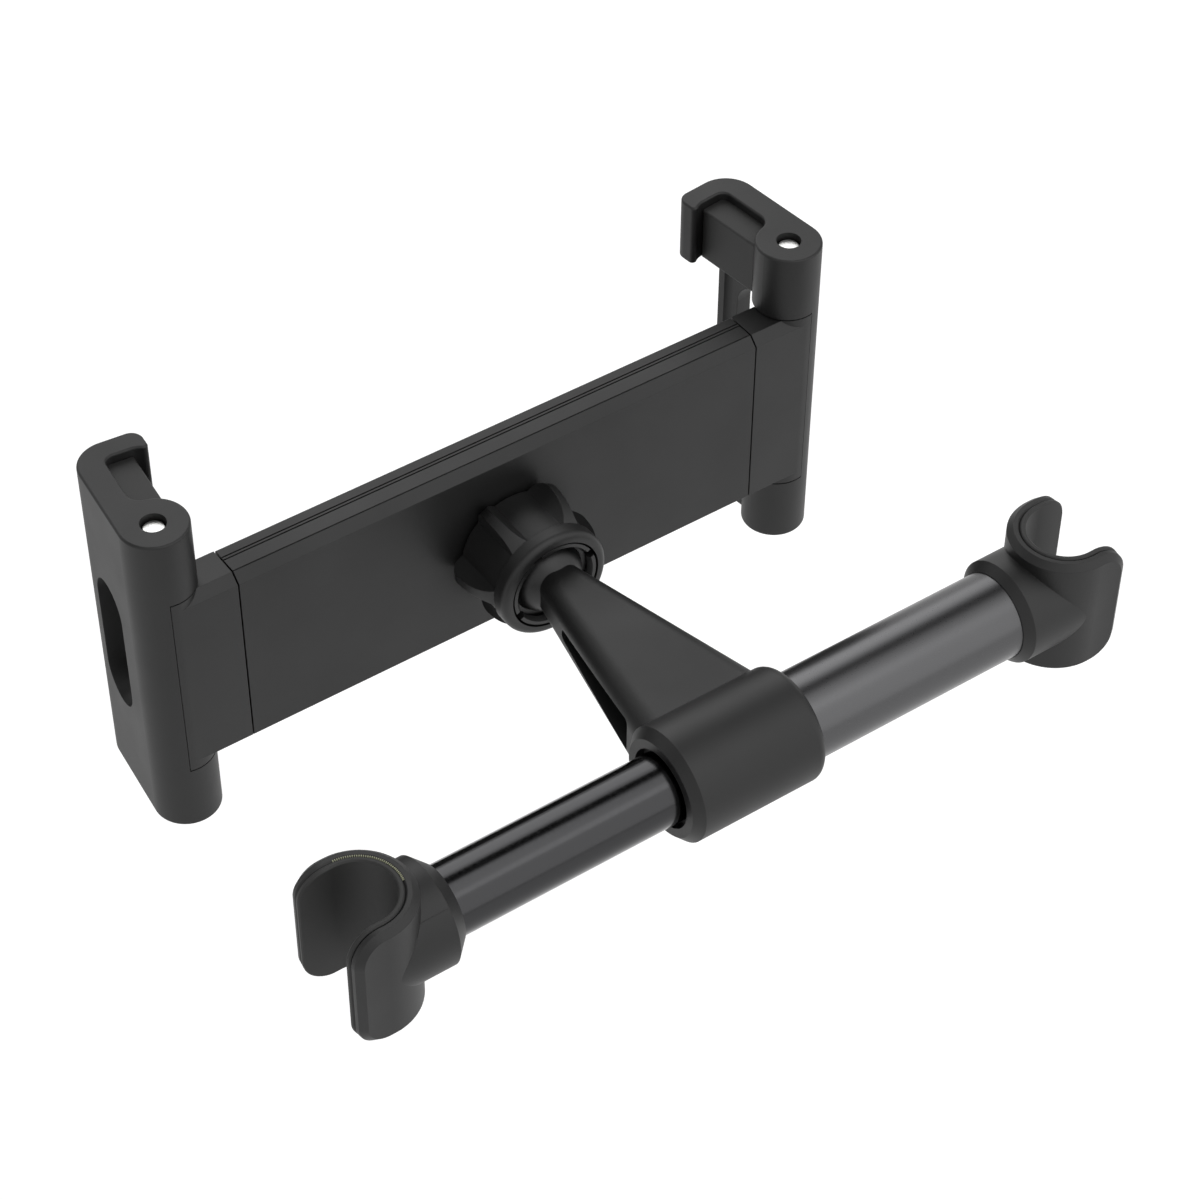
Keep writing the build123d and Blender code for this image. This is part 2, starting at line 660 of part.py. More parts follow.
def rear_cover():
    """The rear shell of the cradle, with the hole for the collet."""
    shell = block(-HALF_LENGTH, HALF_LENGTH, BACK_Y, SEAM_Y, -HALF_HEIGHT, HALF_HEIGHT)
    long_edges = shell.edges().filter_by(Axis.X).group_by(Axis.Y)[0]
    shell = chamfer(long_edges, BACK_CHAMFER)
    hollow_x = HALF_LENGTH - END_WALL
    hollow_z = HALF_HEIGHT - COVER_WALL
    shell -= block(-hollow_x, hollow_x, INSIDE_Y, SEAM_Y, -hollow_z, hollow_z)
    for x, z in boss_places():
        shell += along_y(BOSS_R, INSIDE_Y, BACK_Y + BOSS_SPLIT, x, z)
        shell -= along_y(COVER_SCREW_D / 2, BACK_Y + COVER_SCREW_END, SEAM_Y, x, z)
    for side in (-1, 1):
        peg = (side * SPRING_PEG_X, side * SPRING_LANE_Z)
        shell += along_y(SPRING_PEG_R, INSIDE_Y, BAR_FRONT_Y, -peg[0], peg[1])
    for cut in bar_openings():
        shell -= cut
    shell -= along_y(SOCKET_R, BACK_Y, INSIDE_Y)
    hole = countersunk_hole(SOCKET_SCREW_D / 2, SOCKET_SCREW_HEAD_D / 2, SOCKET_SCREW_LENGTH)
    for place in socket_screw_places():
        shell -= place * hole
    for side in (-1, 1):
        z0, z1 = sorted((side * HALF_HEIGHT, side * (HALF_HEIGHT - EDGE_GROOVE)))
        edge_y = BACK_Y + BACK_CHAMFER
        shell -= block(-HALF_LENGTH, HALF_LENGTH, edge_y, edge_y + EDGE_GROOVE, z0, z1)
    return shell


def front_cover():
    """The front shell of the cradle, with the pinion's axle."""
    shell = block(-HALF_LENGTH, HALF_LENGTH, SEAM_Y, FRONT_Y, -HALF_HEIGHT, HALF_HEIGHT)
    long_edges = shell.edges().filter_by(Axis.X).group_by(Axis.Y)[-1]
    shell = fillet(long_edges, FRONT_ROUND)
    hollow_x = HALF_LENGTH - END_WALL
    hollow_z = HALF_HEIGHT - COVER_WALL
    inside = FRONT_Y - COVER_WALL
    shell -= block(-hollow_x, hollow_x, SEAM_Y, inside, -hollow_z, hollow_z)
    for side in (-1, 1):
        z0, z1 = sorted((side * (HALF_HEIGHT - SEAM_GROOVE), side * HALF_HEIGHT))
        for y in (SEAM_Y, SEAM_Y + SEAM_GROOVE + SEAM_RIDGE):
            shell -= block(-HALF_LENGTH, HALF_LENGTH, y, y + SEAM_GROOVE, z0, z1)
    for x, z in boss_places():
        shell += along_y(BOSS_R, BACK_Y + BOSS_SPLIT, inside, x, z)
    for x, z in boss_places():
        hole = countersunk_hole(COVER_SCREW_D / 2, COVER_SCREW_HEAD_D / 2, HOUSING_DEPTH)
        shell -= Pos(x, FRONT_Y - COVER_SCREW_SINK, z) * Rot(-90, 0, 0) * hole
    for cut in bar_openings():
        shell -= cut
    return shell + along_y(PINION_AXLE_R, BAR_BACK_Y, inside)


def cover_screws():
    """The screws that close the housing; the front pad covers their heads."""
    length = HOUSING_DEPTH - COVER_SCREW_SINK - COVER_SCREW_END
    screw = countersunk_screw(COVER_SCREW_D / 2, COVER_SCREW_HEAD_D / 2, length)
    placed = []
    for x, z in boss_places():
        placed.append(Pos(x, FRONT_Y - COVER_SCREW_SINK, z) * Rot(-90, 0, 0) * screw)
    return Compound(placed)


def front_pad():
    """The rubber sheet that the tablet rests on."""
    half_x = HALF_LENGTH - FRONT_PAD_MARGIN
    half_z = HALF_HEIGHT - FRONT_PAD_MARGIN
    pad = block(-half_x, half_x, FRONT_Y, FRONT_Y + FRONT_PAD, -half_z, half_z)
    return fillet(pad.edges().filter_by(Axis.Y), FRONT_PAD_ROUND)


def tooth_half(height):
    """Half a tooth's thickness at a height above the pitch line."""
    return TOOTH_PITCH * TOOTH_SHARE / 2 - height * tan(radians(PRESSURE_ANGLE))


def pinion():
    """The gear that makes both brackets slide together."""
    points = []
    for index in range(PINION_TEETH):
        centre = pi / 2 + index * 2 * pi / PINION_TEETH
        for height in (-DEDENDUM, ADDENDUM):
            radius = PINION_PITCH_R + height
            points.append((radius, centre - tooth_half(height) / radius, height))
        for height in (ADDENDUM, -DEDENDUM):
            radius = PINION_PITCH_R + height
            points.append((radius, centre + tooth_half(height) / radius, height))
    outline = [(radius * cos(angle), radius * sin(angle)) for radius, angle, height in points]
    gear = extrude(make_face(Polyline(*outline, close=True)), BAR_FRONT_Y - BAR_BACK_Y)
    gear -= Cylinder(PINION_AXLE_R + PINION_FIT, FAR)
    return Pos(0, BAR_FRONT_Y, 0) * Rot(90, 0, 0) * gear


def rack_bar():
    """The toothed bar of the left bracket; its teeth face down to the pinion."""
    root_z = PINION_PITCH_R + DEDENDUM
    tip_z = PINION_PITCH_R - ADDENDUM
    points = [(-HALF_LENGTH, RACK_OUTER_Z), (-HALF_LENGTH, root_z)]
    centre = -TOOTH_PITCH / 2
    while centre + TOOTH_PITCH / 2 < RACK_REACH:
        points.append((centre - tooth_half(-DEDENDUM), root_z))
        points.append((centre - tooth_half(ADDENDUM), tip_z))
        points.append((centre + tooth_half(ADDENDUM), tip_z))
        points.append((centre + tooth_half(-DEDENDUM), root_z))
        centre += TOOTH_PITCH
    points += [(RACK_REACH, root_z), (RACK_REACH, RACK_OUTER_Z)]
    face = make_face(Polyline(*[(x, BAR_BACK_Y, z) for x, z in points], close=True))
    return extrude(face, BAR_FRONT_Y - BAR_BACK_Y, dir=(0, 1, 0))


def knuckle_face():
    """The plan of the left bracket's end block and of its hinge knuckle."""
    pin = Pos(-PIN_X, PIN_Y)
    inner = -HALF_LENGTH - COVER_GAP
    middle_x = (inner - PIN_X) / 2
    middle_y = (BACK_Y + FRONT_Y) / 2
    body = Pos(middle_x, middle_y) * Rectangle(inner + PIN_X, HOUSING_DEPTH)
    body += pin * Circle(BARREL_R)
    body -= pin * sweep_ring(KNUCKLE_FRONT_ANGLE, SKIN_EDGE_ANGLE + SKIN_STOP_GAP, SKIN_R - KNUCKLE_GAP)
    return body


def sweep_ring(start, end, inner_r):
    """A broken ring from one angle to another, a little wider than the barrel."""
    outer_r = BARREL_R + KNUCKLE_GAP
    ring = Circle(outer_r) - Circle(inner_r)
    reach = 2 * outer_r
    corners = [(0, 0)]
    steps = 6
    for index in range(steps + 1):
        angle = radians(start + (end - start) * index / steps)
        corners.append((reach * cos(angle), reach * sin(angle)))
    return ring & make_face(Polyline(*corners, close=True))


def left_bracket():
    """The left end block with its knuckle, rack bar, guide bar and spring peg."""
    face = knuckle_face()
    body = prism(face, -HALF_HEIGHT, HALF_HEIGHT)
    wedge_reach = BACK_CHAMFER * 2
    for side in (-1, 1):
        edge = side * HALF_HEIGHT
        inner = edge - side * BACK_CHAMFER
        corner = [(BACK_Y, inner), (BACK_Y, edge), (BACK_Y + BACK_CHAMFER, edge)]
        wedge = make_face(Polyline(*[(-PIN_X, y, z) for y, z in corner], close=True))
        cut = extrude(wedge, PIN_X - HALF_LENGTH + wedge_reach, dir=(1, 0, 0))
        body -= cut - Pos(-PIN_X, PIN_Y, 0) * Cylinder(BARREL_R, FAR)
    body += rack_bar() + block(
        -HALF_LENGTH - 2 * COVER_GAP, -HALF_LENGTH, BAR_BACK_Y, BAR_FRONT_Y,
        PINION_PITCH_R + DEDENDUM, RACK_OUTER_Z,
    )
    body += block(
        -HALF_LENGTH - 2 * COVER_GAP, GUIDE_REACH, BAR_BACK_Y, BAR_FRONT_Y,
        -GUIDE_OUTER_Z, -GUIDE_INNER_Z,
    )
    half = SPRING_LUG_WIDTH / 2
    body += block(
        -SPRING_LUG_X - half, -SPRING_LUG_X + half, BAR_BACK_Y, BAR_BACK_Y + SPRING_LUG_THICK,
        -GUIDE_INNER_Z, -SPRING_LANE_Z + half,
    )
    body += along_y(SPRING_PEG_R, BAR_BACK_Y, BAR_FRONT_Y, -SPRING_LUG_X, -SPRING_LANE_Z)
    return body - Pos(-PIN_X, PIN_Y, 0) * Cylinder(PIN_R + PIN_FIT, FAR)


def left_return_spring():
    """The spring that draws the left bracket in: a coil with a loop round each peg."""
    loop_r = SPRING_PEG_R + SPRING_LOOP_FIT + SPRING_WIRE_R
    coil_start = -SPRING_LUG_X + SPRING_HOOK
    coil_end = SPRING_PEG_X - SPRING_HOOK
    wire = coil(coil_end - coil_start, SPRING_TURNS, SPRING_COIL_R, SPRING_WIRE_R)
    spring = Pos(coil_start, BAR_MID_Y, -SPRING_LANE_Z) * Rot(0, 90, 0) * wire
    for peg_x, end_x in ((-SPRING_LUG_X, coil_start), (SPRING_PEG_X, coil_end)):
        loop = Pos(peg_x, BAR_MID_Y, -SPRING_LANE_Z) * Rot(90, 0, 0) * Torus(loop_r, SPRING_WIRE_R)
        way = 1 if end_x > peg_x else -1
        start_x = peg_x + way * loop_r
        x0, x1 = sorted((start_x, end_x))
        shank = Pos(0, BAR_MID_Y, -SPRING_LANE_Z) * along_x(SPRING_WIRE_R, x0, x1)
        turn_down = block(
            end_x - SPRING_WIRE_R, end_x + SPRING_WIRE_R,
            BAR_MID_Y - SPRING_WIRE_R, BAR_MID_Y + SPRING_WIRE_R,
            -SPRING_LANE_Z - SPRING_COIL_R, -SPRING_LANE_Z,
        )
        spring += loop + shank + turn_down
    return spring


def turned_over(piece):
    """The right-hand twin of a left-hand piece, turned half round about the Y axis."""
    return Rot(0, 180, 0) * piece


def rim_face():
    """The plan of a wing's rim: a wall, a far corner and a lip that turns in, then back a little."""
    outer = -BARREL_R
    wall = outer + RIM_WALL
    lip = outer + LIP_REACH
    inside = WING_LENGTH - LIP_WALL
    tip = inside - LIP_TURN
    hollow = lip - LIP_HOLLOW
    corners = [(hollow, inside), (wall, inside), (wall, 0), (outer, 0)]
    corners += [(outer, WING_LENGTH), (lip, WING_LENGTH), (lip, tip)]
    turn = TangentArc((hollow, inside), (lip, tip), tangent=(1, 0))
    face = make_face([*Polyline(*corners).edges(), turn])
    radii = {
        (outer, WING_LENGTH): WING_CORNER_R,
        (lip, WING_LENGTH): LIP_OUTER_R,
        (lip, tip): LIP_TIP_R,
        (wall, inside): RIM_INNER_R,
    }
    for corner, radius in radii.items():
        face = fillet(face.vertices().sort_by_distance((*corner, 0))[0], radius)
    face += Circle(BARREL_R)
    crossing = (wall, sqrt(BARREL_R ** 2 - wall ** 2), 0)
    return fillet(face.vertices().sort_by_distance(crossing)[0], RIM_BLEND_R)


def plate_face():
    """The plan of the thinner plate between the two rims, with the skin round the knuckle."""
    outer = -BARREL_R
    inside_r = WING_CORNER_R - PLATE_WALL
    wall = outer + PLATE_WALL
    far = WING_LENGTH
    corners = [
        (outer, 0), (outer, far), (outer + WING_CORNER_R, far),
        (outer + WING_CORNER_R, far - PLATE_WALL), (wall, far - PLATE_WALL), (wall, 0),
    ]
    face = make_face(Polyline(*corners, close=True))
    face = fillet(face.vertices().sort_by_distance((outer, far, 0))[0], WING_CORNER_R - 0.01)
    face = fillet(face.vertices().sort_by_distance((wall, far - PLATE_WALL, 0))[0], inside_r)
    cut_x = outer + PLATE_RETURN
    face -= Pos(cut_x + WING_LENGTH / 2, WING_LENGTH) * Rectangle(WING_LENGTH, 2 * PLATE_WALL + 2)
    face += sweep_ring(180 - WING_LEAN, SKIN_EDGE_ANGLE + WING_LEAN, SKIN_R) & Circle(BARREL_R)
    return face - Circle(SKIN_R)


def wing_slot():
    """The upright slot through the wing's plate."""
    cutter = SlotOverall(SLOT_HEIGHT, SLOT_WIDTH, rotation=90)
    cutter = Plane(origin=(0, SLOT_OFFSET, 0), x_dir=(0, 1, 0), z_dir=(1, 0, 0)) * cutter
    return extrude(cutter, FAR / 2, dir=(-1, 0, 0))


def placed_wing(piece):
    """A wing piece leaned inwards and moved onto the left hinge pin."""
    return Pos(-PIN_X, PIN_Y, 0) * Rot(0, 0, -WING_LEAN) * piece


def wing_body():
    rim_foot = WING_HALF - RIM_HEIGHT
    rim = rim_face()
    top = prism(rim, rim_foot, WING_HALF) + prism(Circle(BARREL_R), BARREL_FOOT_Z, WING_HALF)
    edges = top.edges().group_by(Axis.Z)[-1]
    top = fillet(edges, WING_EDGE_ROUND)
    top -= Pos(0, 0, WING_HALF) * Cylinder(PIN_HOLE_R, 4 * PIN_SINK)
    body = top + mirror(top, Plane.XY)
    body += prism(plate_face(), -rim_foot, rim_foot) - wing_slot()
    skin_void = Cylinder(SKIN_R, 2 * BARREL_FOOT_Z)
    body += prism(Circle(BARREL_R), BARREL_FOOT_Z, rim_foot)
    body += prism(Circle(BARREL_R), -rim_foot, -BARREL_FOOT_Z)
    return body - skin_void - Cylinder(PIN_R, FAR)


def wing_pad(wing):
    """The block pad in the corner of the upper rim."""
    wall = RIM_WALL - BARREL_R
    inside = WING_LENGTH - LIP_WALL - PAD_END_GAP
    top = WING_HALF - PAD_RECESS
    pad = block(wall, PAD_REACH - BARREL_R, 0, inside, WING_HALF - RIM_HEIGHT, top)
    face_edges = pad.edges().group_by(Axis.X)[-1]
    pad = fillet(face_edges, PAD_ROUND)
    pad -= wing
    pad -= Cylinder(BARREL_R, FAR)
    return pad.solids().sort_by(SortBy.VOLUME)[-1]


def hinge_pin():
    pin = Cylinder(PIN_R, WING_HEIGHT - 2 * PIN_SINK)
    return chamfer(pin.edges().filter_by(GeomType.CIRCLE), PIN_CHAMFER)


def write_nodes():
    wing = wing_body()
    pad = wing_pad(wing)
    left = {
        "bracket": left_bracket(),
        "return_spring": left_return_spring(),
        "wing": placed_wing(wing),
        "hinge_pin": placed_wing(hinge_pin()),
        "upper_pad": placed_wing(pad),
        "lower_pad": placed_wing(mirror(pad, Plane.XY)),
    }
    nodes = {
        "support_arm": support_arm(),
        "sleeve_screw": sleeve_screw(),
        "outer_tube": outer_tube(),
        "tube_bush": tube_bush(),
        "rod_spring": rod_spring(),
        "ball_stud": ball_stud(),
        "right_tube_plug": on_right(tube_plug(OUTER_BORE_R)),
        "right_hook": on_right(hook(OUTER_TUBE_D / 2, RIGHT_COLLAR_LENGTH, RIGHT_COLLAR_CHAMFER)),
        "right_hook_liner": on_right(hook_liner()),
        "right_hook_screw": on_right(hook_screw()),
        "inner_tube": inner_tube(),
        "rod_stop": rod_stop(),
        "left_tube_plug": on_left(tube_plug(INNER_R - INNER_TUBE_WALL)),
        "left_hook": on_left(hook(INNER_R, LEFT_COLLAR_LENGTH, LEFT_COLLAR_CHAMFER)),
        "left_hook_liner": on_left(hook_liner()),
        "left_hook_screw": on_left(hook_screw()),
        "friction_cup": ball_seat(0, CUP_ANGLE),
        "friction_ring": ball_seat(RING_START_ANGLE, RING_END_ANGLE),
        "ball_socket": ball_socket(),
        "socket_screws": socket_screws(),
        "lock_nut": lock_nut(),
        "rear_cover": rear_cover(),
        "front_cover": front_cover(),
        "cover_screws": cover_screws(),
        "front_pad": front_pad(),
        "pinion": pinion(),
    }
    for name, piece in left.items():
        nodes["left_" + name] = piece
        nodes["right_" + name] = turned_over(piece)
    os.makedirs("parts", exist_ok=True)
    for name, piece in nodes.items():
        export_step(piece, f"parts/{name}.step")
        size = piece.bounding_box().size
        print(f"{name}: {size.X:.1f} x {size.Y:.1f} x {size.Z:.1f} mm")


write_nodes()
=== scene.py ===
# %% [markdown]
# # A headrest tablet mount, dressed for its portrait
# The real thing is a black plastic and aluminium holder that is sprung between the two posts of a car
# headrest and holds a tablet for the passenger behind. Its working pieces arrive already modelled at their
# real size, so this lesson gives them what a maker's bench gives them: moulded, drawn and ground surfaces,
# and the small visible details. First the imported model is loaded, and its box is kept to centre the studio
# on.

# %% Load the imported model
import math

import bpy
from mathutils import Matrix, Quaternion, Vector


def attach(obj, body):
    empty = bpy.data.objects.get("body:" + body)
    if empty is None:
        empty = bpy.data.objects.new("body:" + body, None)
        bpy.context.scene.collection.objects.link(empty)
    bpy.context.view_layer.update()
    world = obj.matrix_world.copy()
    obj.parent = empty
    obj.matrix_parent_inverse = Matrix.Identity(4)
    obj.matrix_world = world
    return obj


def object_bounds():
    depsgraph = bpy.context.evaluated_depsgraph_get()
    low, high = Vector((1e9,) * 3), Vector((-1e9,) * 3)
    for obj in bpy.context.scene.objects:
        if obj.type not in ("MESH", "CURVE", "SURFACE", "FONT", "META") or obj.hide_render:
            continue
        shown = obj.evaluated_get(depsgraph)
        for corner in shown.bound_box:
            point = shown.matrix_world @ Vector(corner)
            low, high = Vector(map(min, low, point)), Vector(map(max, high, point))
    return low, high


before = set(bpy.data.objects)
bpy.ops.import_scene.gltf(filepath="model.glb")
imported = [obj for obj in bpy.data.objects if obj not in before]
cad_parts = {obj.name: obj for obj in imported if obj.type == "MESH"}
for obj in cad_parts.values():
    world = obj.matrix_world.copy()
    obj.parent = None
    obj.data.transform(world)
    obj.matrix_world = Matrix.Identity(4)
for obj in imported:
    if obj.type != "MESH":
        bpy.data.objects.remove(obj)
cad_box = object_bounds()
MM = 0.001

# %% [markdown]
# ## The camera
# The photograph looks down over the rod from the headrest's side, with a long lens. The camera's place, the
# point it looks at and a slight roll are written here as a photographer would note them.

# %% Place the camera
CAMERA_PLACE = Vector((-0.26563, -0.33145, 0.45981))
CAMERA_AIM = Vector((0.00679, 0.05202, -0.00316))
CAMERA_ROLL = math.radians(0.491)
CAMERA_LENS = 95.63


def place_camera():
    """A long lens at the photograph's viewpoint, rolled a little anticlockwise about its own axis."""
    camera = bpy.data.objects.new("camera", bpy.data.cameras.new("camera"))
    bpy.context.scene.collection.objects.link(camera)
    camera.data.lens = CAMERA_LENS
    camera.data.sensor_width = 36
    camera.location = CAMERA_PLACE
    aim = (CAMERA_AIM - CAMERA_PLACE).to_track_quat("-Z", "Y")
    camera.rotation_mode = "QUATERNION"
    camera.rotation_quaternion = aim @ Quaternion((0, 0, 1), CAMERA_ROLL)
    return camera


bpy.context.scene.camera = place_camera()
bpy.context.scene.view_settings.view_transform = "Standard"
print("camera", bpy.context.scene.camera.data.lens, "mm")

# %% [markdown]
# ## Helpers for materials
# Colours are picked as sRGB hex values, as in any paint program, but shaders want linear light. One function
# turns them, and one more adds a node to a material with its settings and its links. Nothing real is one flat
# colour or gloss all over, so two small helpers let a colour and a roughness wander a little with a noise.

# %% Colour and node helpers


def linear(hex_colour):
    """An sRGB hex colour as linear RGBA."""
    channels = [int(hex_colour[i:i + 2], 16) / 255 for i in (1, 3, 5)]
    return tuple(c / 12.92 if c <= 0.04045 else ((c + 0.055) / 1.055) ** 2.4 for c in channels) + (1.0,)


def add_node(tree, kind, inputs=None, **settings):
    """Adds a node with its settings; inputs are plain values, or other nodes' outputs to link."""
    node = tree.nodes.new(kind)
    for name, value in settings.items():
        setattr(node, name, value)
    for name, value in (inputs or {}).items():
        if isinstance(value, bpy.types.NodeSocket):
            tree.links.new(value, node.inputs[name])
        else:
            node.inputs[name].default_value = value
    return node


def start_material(name, **shader_values):
    """A material with its shader set, and the object coordinates its patterns read."""
    material = bpy.data.materials.new(name)
    material.use_nodes = True
    tree = material.node_tree
    tree.nodes.clear()
    shader = add_node(tree, "ShaderNodeBsdfPrincipled", shader_values)
    add_node(tree, "ShaderNodeOutputMaterial", {"Surface": shader.outputs["BSDF"]})
    place = add_node(tree, "ShaderNodeTexCoord").outputs["Object"]
    return material, tree, shader, place


def per_metre(size_mm):
    """The noise scale that gives blotches of about this size, in metres of object space."""
    return 1 / (size_mm * MM)


def mottle(tree, noise, tone, other_tone):
    """A colour that wanders between two near tones with a noise."""
    return add_node(
        tree, "ShaderNodeMix",
        {"Factor": noise.outputs["Fac"], "A": linear(tone), "B": linear(other_tone)}, data_type="RGBA",
    ).outputs["Result"]


def uneven(tree, noise, least, most):
    """A roughness that wanders between two values with a noise."""
    return add_node(
        tree, "ShaderNodeMapRange",
        {"Value": noise.outputs["Fac"], "From Min": 0.3, "From Max": 0.7, "To Min": least, "To Max": most},
    ).outputs["Result"]


def finish_shader(tree, shader, **links):
    """Links the finish's colour, roughness and bump to the shader's sockets."""
    for socket, output in links.items():
        tree.links.new(output, shader.inputs[socket.replace("_", " ")])


# %% [markdown]
# ## Moulded plastic
# Nearly all of the object is injection moulded in black. The steel mould was spark eroded, which leaves a
# fine, even grain on the plastic: it scatters the highlights, so broad faces look soft and only the edges
# draw a thin bright line. The grain is about 0.1 mm on the real part; it is drawn at 0.3 mm here, so that it
# just shows. A slower variation of the roughness stands for flow marks, and a small rounding where faces
# meet, made by the Bevel node, is the edge that every mould leaves.

# %% Moulded plastic
GRAIN = 0.3
FLOW_MARKS = 18.0


def moulded_plastic(name, tone, flow_tone, roughness, grain_depth, edge):
    """A thermoplastic with a spark-eroded grain, faint flow marks and softly rounded edges."""
    material, tree, shader, place = start_material(name, IOR=1.46)
    grain = add_node(tree, "ShaderNodeTexNoise", {"Vector": place, "Scale": per_metre(GRAIN), "Detail": 2.0})
    flow = add_node(
        tree, "ShaderNodeTexNoise", {"Vector": place, "Scale": per_metre(FLOW_MARKS), "Detail": 3.0}
    )
    rounded = add_node(tree, "ShaderNodeBevel", {"Radius": edge * MM}, samples=4)
    bump = add_node(
        tree, "ShaderNodeBump",
        {"Height": grain.outputs["Fac"], "Distance": grain_depth * MM, "Strength": 0.6,
         "Normal": rounded.outputs["Normal"]},
    )
    finish_shader(
        tree, shader, Base_Color=mottle(tree, flow, tone, flow_tone),
        Roughness=uneven(tree, flow, roughness - 0.03, roughness + 0.03), Normal=bump.outputs["Normal"],
    )
    return material


NYLON = moulded_plastic("spark_eroded_black_nylon", "#0f0f0f", "#131313", 0.50, 0.02, 0.15)
ABS = moulded_plastic("spark_eroded_black_abs", "#0e0e0e", "#121212", 0.52, 0.02, 0.15)
ACETAL = moulded_plastic("smooth_black_acetal", "#121212", "#161616", 0.42, 0.008, 0.15)
NUT_PLASTIC = moulded_plastic("moulded_black_nut_nylon", "#0e0e0e", "#121212", 0.48, 0.015, 0.2)
BUSH_NYLON = moulded_plastic("natural_white_nylon", "#d9d5c8", "#dedacf", 0.45, 0.008, 0.2)
print("five moulded plastics")

# %% [markdown]
# ## Rubber
# The liners and pads are moulded in black rubber. It is duller and greyer than the plastic and has a
# slightly coarser skin, so that it grips. A pale straw copy of it is a painted highlight on the small ribs in
# one groove.

# %% Moulded rubber


def moulded_rubber(name, tone, bloom_tone):
    """Rubber with a fine skin and a faint bloom."""
    material, tree, shader, place = start_material(name, IOR=1.52, Roughness=0.62)
    skin = add_node(tree, "ShaderNodeTexNoise", {"Vector": place, "Scale": per_metre(0.4), "Detail": 3.0})
    bloom = add_node(tree, "ShaderNodeTexNoise", {"Vector": place, "Scale": per_metre(9.0), "Detail": 4.0})
    rounded = add_node(tree, "ShaderNodeBevel", {"Radius": 0.2 * MM}, samples=4)
    bump = add_node(
        tree, "ShaderNodeBump",
        {"Height": skin.outputs["Fac"], "Distance": 0.02 * MM, "Strength": 0.6,
         "Normal": rounded.outputs["Normal"]},
    )
    finish_shader(
        tree, shader, Base_Color=mottle(tree, bloom, tone, bloom_tone), Normal=bump.outputs["Normal"]
    )
    return material


RUBBER = moulded_rubber("moulded_black_rubber", "#161616", "#1b1b1a")
# Pale straw tones: a painted highlight for the glints on the small ribs in the left hook's groove.
GROOVE_HIGHLIGHT_RUBBER = moulded_rubber("rubber_painted_groove_highlight", "#9fa085", "#a9aa90")
print("two rubbers")

# %% [markdown]
# ## Anodised aluminium tube
# Both tubes are anodised satin black. The thick one was blasted with fine glass beads first, so it shows a
# faint speckle and soft reflections; the thin one has to slide, so it was polished and mirrors more sharply.

# %% Anodised tubes


def anodised_tube(name, tone, roughness, speckle_mm, depth):
    """Aluminium under a dyed black oxide, with the speckle that blasting or polishing left."""
    material, tree, shader, place = start_material(name, Metallic=1.0)
    speckle = add_node(
        tree, "ShaderNodeTexNoise", {"Vector": place, "Scale": per_metre(speckle_mm), "Detail": 2.0}
    )
    bump = add_node(
        tree, "ShaderNodeBump", {"Height": speckle.outputs["Fac"], "Distance": depth * MM, "Strength": 0.4}
    )
    shader.inputs["Base Color"].default_value = linear(tone)
    finish_shader(
        tree, shader, Roughness=uneven(tree, speckle, roughness - 0.03, roughness + 0.03),
        Normal=bump.outputs["Normal"],
    )
    return material


BLASTED_TUBE = anodised_tube("bead_blasted_black_anodised_tube", "#565657", 0.30, 0.25, 0.006)
POLISHED_TUBE = anodised_tube("polished_black_anodised_tube", "#3e3e3f", 0.18, 0.8, 0.003)
print("two anodised tubes")

# %% [markdown]
# ## Steel
# There are three steels: the ground hinge pins, the zinc-plated screws and the spring wire. The grain of the
# pins runs along them, so their sides look drawn, and their smooth ends catch the light as bright discs.

# %% Ground, plated and drawn steel
PIN_GRAIN = 0.25


def steel(name, tone, roughness, grain_mm, stretch):
    """Bare or plated steel with a fine grain, which may be drawn out along one axis."""
    material, tree, shader, place = start_material(name, Metallic=1.0)
    stretched = add_node(tree, "ShaderNodeMapping", {"Vector": place, "Scale": stretch})
    grain = add_node(
        tree, "ShaderNodeTexNoise",
        {"Vector": stretched.outputs["Vector"], "Scale": per_metre(grain_mm), "Detail": 3.0},
    )
    bump = add_node(
        tree, "ShaderNodeBump", {"Height": grain.outputs["Fac"], "Distance": 0.004 * MM, "Strength": 0.4}
    )
    shader.inputs["Base Color"].default_value = linear(tone)
    finish_shader(
        tree, shader, Roughness=uneven(tree, grain, roughness - 0.05, roughness + 0.07),
        Normal=bump.outputs["Normal"],
    )
    return material


PIN_STEEL = steel("ground_pin_steel", "#d6d6d4", 0.32, PIN_GRAIN, (1.0, 1.0, 0.05))
SCREW_STEEL = steel("zinc_plated_steel", "#b4b5b6", 0.35, 0.5, (1.0, 1.0, 1.0))
SPRING_STEEL = steel("drawn_spring_wire", "#8e8f91", 0.30, 0.3, (0.1, 1.0, 1.0))
print("three steels")

# %% [markdown]
# ## Who wears what
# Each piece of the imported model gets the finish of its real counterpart.

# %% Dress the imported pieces
FINISHES = {
    NYLON: ["support_arm", "right_hook", "left_hook", "left_bracket", "right_bracket"],
    ABS: ["rear_cover", "front_cover", "left_wing", "right_wing"],
    ACETAL: ["ball_stud", "ball_socket", "friction_ring", "tube_bush"],
    NUT_PLASTIC: ["lock_nut"],
    BUSH_NYLON: ["rod_stop", "right_tube_plug", "left_tube_plug", "friction_cup", "pinion"],
    RUBBER: ["right_hook_liner", "left_hook_liner", "front_pad", "left_upper_pad", "left_lower_pad",
             "right_upper_pad", "right_lower_pad"],
    BLASTED_TUBE: ["outer_tube"],
    POLISHED_TUBE: ["inner_tube"],
    PIN_STEEL: ["left_hinge_pin", "right_hinge_pin"],
    SCREW_STEEL: ["sleeve_screw", "right_hook_screw", "left_hook_screw", "socket_screws", "cover_screws"],
    SPRING_STEEL: ["rod_spring", "left_return_spring", "right_return_spring"],
}


def dress(node, material):
    """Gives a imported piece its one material."""
    node.data.materials.clear()
    node.data.materials.append(material)


